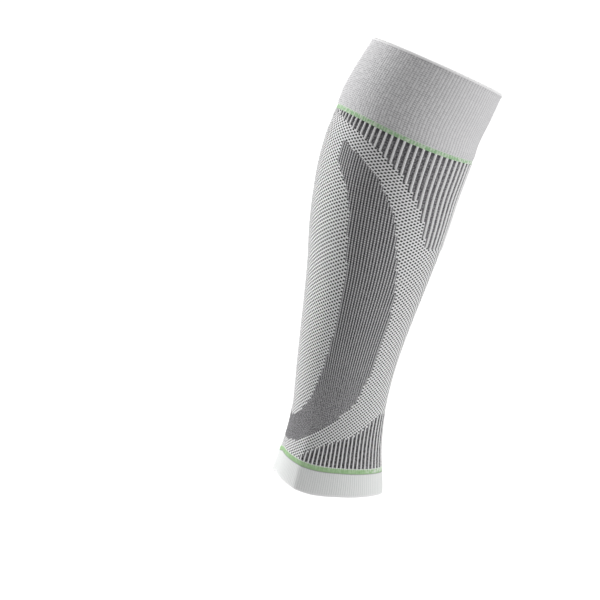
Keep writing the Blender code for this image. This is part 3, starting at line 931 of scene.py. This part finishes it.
def dense_knit():
    """Dark knit with paler slanting stitches along each wale, which run together low down, and painted
    shade at the low back.
    """
    p = Pattern("dense_knit")
    across = p.math("SUBTRACT", p.math("FRACT", p.wale), 0.5)
    away = p.math("ABSOLUTE", across)
    line = p.less(p.step(p.math("ADD", away, p.wobble(*LINE_NOISE)), *LINE_EDGE))
    slant = p.middle(p.math("ADD", p.course, p.times(across, LINE_SLANT)))
    line = p.times(line, p.less(p.times(p.step(slant, *DASH_EDGE), DASH_GAP)))
    crisp = p.step(p.course, *CRISP_COURSES)
    line = p.times(line, p.math("ADD", FAINT_LINE, p.times(crisp, 1.0 - FAINT_LINE)))
    dot = p.less(p.step(p.middle(p.course), *DENSE_DOT_EDGE))
    dot = p.times(dot, p.step(away, *BETWEEN_LINES), crisp)
    speck = p.step(p.noise(*SPECK_NOISE), *SPECK_EDGE)
    speck = p.times(speck, p.less(p.times(crisp, SPECK_LOST)), SPECK)
    base = p.mix(dot, p.mix(crisp, DENSE_GREY_LOW, DENSE_GREY), DENSE_DOT)
    pale = p.mix(crisp, DENSE_LINE_LOW, DENSE_LINE)
    knit = p.mix(p.math("MAXIMUM", line, speck), base, pale)
    # Painted shade: the crescents darken at the low back, by the heel, as the calf's shadow.
    heel_shade = p.times(p.step(p.toward_shin(), *HEEL_SIDES), p.step(p.course, *HEEL_COURSES))
    return p.finish(p.mix(p.times(heel_shade, PAINTED_HEEL_SHADE), knit, DENSE_DOT))


def cuff_knit(name, white, shade, ticks, rim, seam, seam_shadow, seam_green):
    """White fine ribs and ticks, with a rim painted paler as light on its top edge. The stripe's green runs
    over at the seam, with a painted shadow line under it on the hem.
    """
    p = Pattern(name)
    edge = p.step(p.middle(p.wale), *CUFF_RIB_EDGE)
    pair = p.math("FRACT", p.times(p.math("ADD", p.wale, 0.5), 0.5))
    second = p.step(p.from_line(pair, 0.5), *SECOND_WALE)
    depth = p.times(edge, p.math("ADD", CUFF_LINE, p.times(second, CUFF_LINE_EXTRA)))
    ribbed = p.mix(depth, white, shade)
    wave = p.math("ADD", p.course, p.times(p.noise(*TICK_NOISE), TICK_WAVE))
    tick = p.times(p.step(p.middle(wave), *TICK_EDGE), p.step(p.noise(*TICK_PATCH_NOISE), *TICK_PATCH_EDGE))
    tick = p.times(tick, p.less(p.times(p.step(p.toward_shin(), *TICKS_END), TICKS_LOST)), ticks)
    knit = p.mix(tick, ribbed, shade)
    # Painted light: the rim is painted paler, as light from above on the rolled top edge.
    knit = p.mix(p.step(p.from_line(p.course, rim), *RIM_EDGE), knit, LIT_RIM_WHITE)
    from_seam = p.math("ADD", p.from_line(p.course, seam), p.times(p.noise(*SEAM_NOISE), SEAM_WAVE))
    # Painted shadow: a grey line under the stripe's green at the hem's seam; the top cuff gets its own
    # white here instead.
    knit = p.mix(p.step(from_seam, *SEAM_SHADOW_EDGE), knit, seam_shadow)
    return p.finish(p.mix(p.step(from_seam, *SEAM_GREEN_EDGE), knit, seam_green))


def stripe_knit(name, green, light, bite, crown):
    """Green knit with paler ribs. Ribs bite into its lower edge, and a white zigzag ends it above."""
    p = Pattern(name)
    mottle = p.times(p.math("SUBTRACT", p.noise(*MOTTLE_NOISE), MOTTLE_LEVEL), MOTTLE)
    ragged = p.math("ADD", p.times(p.middle(p.wale), GREEN_RIB), mottle)
    knit = p.mix(p.step(ragged, *GREEN_EDGE), green, light)
    front = p.times(p.step(p.toward_shin(), *STRIPE_FADE), STRIPE_FADED)
    knit = p.mix(p.times(p.step(ragged, *PALE_EDGE), front), knit, STRIPE_PALE)
    top = p.step(p.math("ADD", p.course, p.times(p.middle(p.wale), CROWN_SLANT)), *CROWN_EDGE)
    knit = p.mix(p.times(top, crown), knit, WHITE_YARN)
    groove = p.step(p.math("ABSOLUTE", p.rib_offset()), *STRIPE_GROOVE_EDGE)
    below = p.less(p.step(p.course, BITE_START * bite, bite))
    return p.finish(p.mix(below, knit, p.mix(groove, WHITE_YARN, GROOVE_GREY)))


def plain_knit(name, pale, dark):
    """The inner face: small even stitches."""
    p = Pattern(name)
    across = p.step(p.middle(p.wale), *BACK_WALE_EDGE)
    slant = p.math("ADD", p.course, p.times(p.middle(p.wale), BACK_SLANT))
    up = p.times(p.step(p.middle(slant), *BACK_COURSE_EDGE), BACK_STITCH)
    return p.finish(p.mix(p.math("MAXIMUM", across, up), pale, dark))


def glowing(name, colour, roughness, glow):
    """A plain material that gives off white light."""
    material = bpy.data.materials.new(name)
    material.use_nodes = True
    shader = material.node_tree.nodes["Principled BSDF"]
    shader.inputs["Base Color"].default_value = (*colour, 1.0)
    shader.inputs["Roughness"].default_value = roughness
    shader.inputs["Emission Color"].default_value = (1.0, 1.0, 1.0, 1.0)
    shader.inputs["Emission Strength"].default_value = glow
    return material


def keep(piece, slot, *nodes):
    """Fastens a piece of the sleeve to its frame and hides the solids it stands for; its slot is not used.
    """
    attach(piece, "root")
    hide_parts(*nodes)


def knit_between_stripes():
    """The openwork, the ribs and the crescents, each with its outer and inner material."""
    zones = make_zones()
    mesh = (openwork(), plain_knit("openwork_back", MESH_BACK, MESH_BACK_GAP))
    ribs = (ribbing(), plain_knit("ribbing_back", RIB_BACK, RIB_BACK_GAP))
    dense = (dense_knit(), plain_knit("dense_back", DENSE_BACK, DENSE_BACK_GAP))
    looks = {
        "mesh_knit": (mesh_relief, mesh),
        "rib_knit": (rib_relief, ribs),
        "crescent_knit": (crescent_relief, dense),
    }
    for name, zone, across, up, centred, strips, slot, node in KNIT_PIECES:
        relief, materials = looks[slot]
        piece = patch(name, zones == zone, across, up, relief, materials, centred, strips)
        keep(piece, slot, node)


def top_cuff_rows():
    """The top cuff's rows: up the outer face, over the rolled rim and down the inner face."""
    foot = SLEEVE_LENGTH - TOP_CUFF_HEIGHT
    courses = round(TOP_CUFF_HEIGHT / CUFF_COURSE)
    crest = TOP_CUFF_HEIGHT - RIM_CREST * RIM_HEIGHT

    def at(part):
        return lambda share: high_line(share, foot) * (1 - part) + SLEEVE_LENGTH * part

    rows = []
    for part in np.linspace(0.0, 1.0, 2 * courses + 1):
        height = part * TOP_CUFF_HEIGHT
        ease = min(1.0, height / CUFF_EASE)
        roll = max(0.0, 1.0 - abs(crest - height) / ((1.0 - RIM_CREST) * RIM_HEIGHT))
        lift = CUFF_STEP * ease * ease * (3 - 2 * ease) + RIM_ROLL * math.sin(math.pi / 2 * roll)
        rows.append((at(part), lift, part * courses, 0, min(1.0, (courses - part * courses) / 2)))
    inner = CUFF_STEP - CUFF_WALL
    for height, share in RIM_PROFILE:
        rim = ring(level_line, SLEEVE_LENGTH + height)
        rows.append((rim, inner + CUFF_WALL * share, courses + RIM_COURSE, 0, 0.0))
    for part in np.linspace(1.0 - RIM_INSIDE / TOP_CUFF_HEIGHT, 0.0, courses // 2):
        rows.append((at(part), inner, part * courses, 1, 0.0))
    return rows


def bottom_cuff_rows():
    """The bottom cuff's rows: up the outer face, down the inner face and round the hem."""
    courses = round(BOTTOM_CUFF_HEIGHT / CUFF_COURSE)
    rows = []
    for part in np.linspace(0.0, 1.0, 2 * courses + 1):
        height = max(part * BOTTOM_CUFF_HEIGHT, HEM_FOOT)
        rows.append((ring(low_line, height), 0.0, part * courses, 0, min(1.0, part * courses / 2)))
    for part in np.linspace(1.0, HEM_INSIDE, courses // 2):
        height = part * BOTTOM_CUFF_HEIGHT
        rows.append((ring(low_line, height), -CUFF_WALL, part * courses, 1, 0.0))
    for height, share in HEM_PROFILE:
        rows.append((ring(low_line, height), -CUFF_WALL * share, 0.0, 0, 0.0))
    return rows


def stripe_rows(line, foot):
    """A stripe's rows: up its outer face and down its inner face."""
    courses = round(STRIPE_HEIGHT / CUFF_COURSE)
    rows = []
    for part in np.linspace(0.0, 1.0, 3 * courses + 1):
        rows.append((ring(line, foot + part * STRIPE_HEIGHT), 0.0, part * courses, 0, 1.0))
    for part in (1.0, 0.5, 0.0):
        rows.append((ring(line, foot + part * STRIPE_HEIGHT), -KNIT_WALL, part * courses, 1, 0.0))
    return rows


def cuffs_and_stripes():
    """The two cuffs and the two stripes, each with its outer and inner material."""
    rim = float(round(TOP_CUFF_HEIGHT / CUFF_COURSE))
    seam = float(round(BOTTOM_CUFF_HEIGHT / CUFF_COURSE))
    white = cuff_knit(
        "cuff_knit", SHADED_CUFF_WHITE, CUFF_SHADE, CUFF_TICKS, rim, TOP_SEAM, SHADED_CUFF_WHITE, UPPER_GREEN
    )
    hem = cuff_knit("hem_knit", LIT_HEM_WHITE, LIT_HEM_SHADE, HEM_TICKS, 0.0, seam, STITCH_GREY, LOWER_GREEN)
    cuff_back = plain_knit("cuff_back", CUFF_BACK, CUFF_SHADE)
    upper = stripe_knit("upper_stripe_knit", UPPER_GREEN, UPPER_GREEN_LIGHT, UPPER_BITE, UPPER_CROWN)
    lower = stripe_knit("lower_stripe_knit", LOWER_GREEN, LOWER_GREEN_LIGHT, LOWER_BITE, LOWER_CROWN)
    stripe_back = plain_knit("stripe_back", UPPER_GREEN, LOWER_GREEN)
    upper_rows = stripe_rows(high_line, SLEEVE_LENGTH - TOP_CUFF_HEIGHT - STRIPE_HEIGHT)
    lower_rows = stripe_rows(low_line, BOTTOM_CUFF_HEIGHT)

    piece = tube("wide_cuff", top_cuff_rows(), 1.0, (white, cuff_back), TOP_STRIPS)
    keep(piece, "cuff_knit", "top_cuff")
    piece = tube("green_stripe_upper", upper_rows, 1.0, (upper, stripe_back), STRIPE_STRIPS)
    keep(piece, "stripe_knit", "upper_stripe")
    piece = tube("green_stripe_lower", lower_rows, 0.0, (lower, stripe_back), STRIPE_STRIPS)
    keep(piece, "stripe_knit", "lower_stripe")
    piece = tube("ankle_cuff", bottom_cuff_rows(), 0.0, (hem, cuff_back), BOTTOM_STRIPS)
    keep(piece, "cuff_knit", "bottom_cuff")


def set_stage():
    """The pale floor and backdrop, and the even light of the air."""
    scene = bpy.context.scene
    scene.view_settings.view_transform = "Standard"
    scene.world = bpy.data.worlds.new("studio")
    scene.world.use_nodes = True
    air = scene.world.node_tree.nodes["Background"]
    air.inputs["Color"].default_value = (1.0, 1.0, 1.0, 1.0)
    air.inputs["Strength"].default_value = FILL_LIGHT

    bpy.ops.mesh.primitive_uv_sphere_add(segments=48, ring_count=24, radius=BACKDROP_RADIUS)
    backdrop = bpy.context.object
    backdrop.name = "backdrop"
    backdrop.data.materials.append(glowing("backdrop", BACKDROP_COLOUR, BACKDROP_ROUGHNESS, BACKDROP_GLOW))
    place = (0.0, 0.0, FLOOR_HEIGHT)
    bpy.ops.mesh.primitive_circle_add(vertices=64, radius=FLOOR_RADIUS, fill_type="NGON", location=place)
    floor = bpy.context.object
    floor.name = "floor"
    floor.data.materials.append(glowing("floor", FLOOR_COLOUR, FLOOR_ROUGHNESS, FLOOR_GLOW))
    for item in (backdrop, floor):
        item.visible_diffuse = False
        item.visible_glossy = False
        item.visible_shadow = False


def hang_lights():
    """The soft lights from afar, and the bounce from the floor under the ankle."""
    for name, around, above, softness, strength in LIGHTS:
        lamp = bpy.data.lights.new(name, "SUN")
        lamp.energy = strength
        lamp.angle = math.radians(softness)
        light = bpy.data.objects.new(name, lamp)
        a, e = math.radians(around), math.radians(above)
        toward = Vector((math.cos(a) * math.cos(e), -math.sin(a) * math.cos(e), math.sin(e)))
        light.rotation_mode = "QUATERNION"
        light.rotation_quaternion = toward.to_track_quat("Z", "Y")
        bpy.context.scene.collection.objects.link(light)

    lamp = bpy.data.lights.new("floor bounce", "AREA")
    lamp.shape = "DISK"
    lamp.size = BOUNCE_WIDTH
    lamp.energy = BOUNCE_POWER
    bounce = bpy.data.objects.new("floor bounce", lamp)
    bounce.location = BOUNCE_PLACE
    bounce.rotation_euler = (math.pi, 0.0, 0.0)
    bounce.visible_camera = False
    bpy.context.scene.collection.objects.link(bounce)


def place_camera():
    """The camera, turned round, up and on its side by its three angles."""
    lens = bpy.data.cameras.new("camera")
    lens.lens = CAMERA_LENS
    lens.sensor_width = CAMERA_SENSOR
    camera = bpy.data.objects.new("camera", lens)
    bpy.context.scene.collection.objects.link(camera)
    azimuth, elevation, roll = (math.radians(value) for value in CAMERA_ANGLES)
    away = math.cos(elevation)
    back = Vector((math.sin(azimuth) * away, -math.cos(azimuth) * away, math.sin(elevation)))
    level = Vector((math.cos(azimuth), math.sin(azimuth), 0.0))
    upright = back.cross(level)
    right = level * math.cos(roll) + upright * math.sin(roll)
    up = upright * math.cos(roll) - level * math.sin(roll)
    turn = Matrix((right, up, back)).transposed()
    camera.matrix_world = Matrix.Translation(Vector(CAMERA_PLACE)) @ turn.to_4x4()
    bpy.context.scene.camera = camera


knit_between_stripes()
cuffs_and_stripes()
set_stage()
hang_lights()
place_camera()
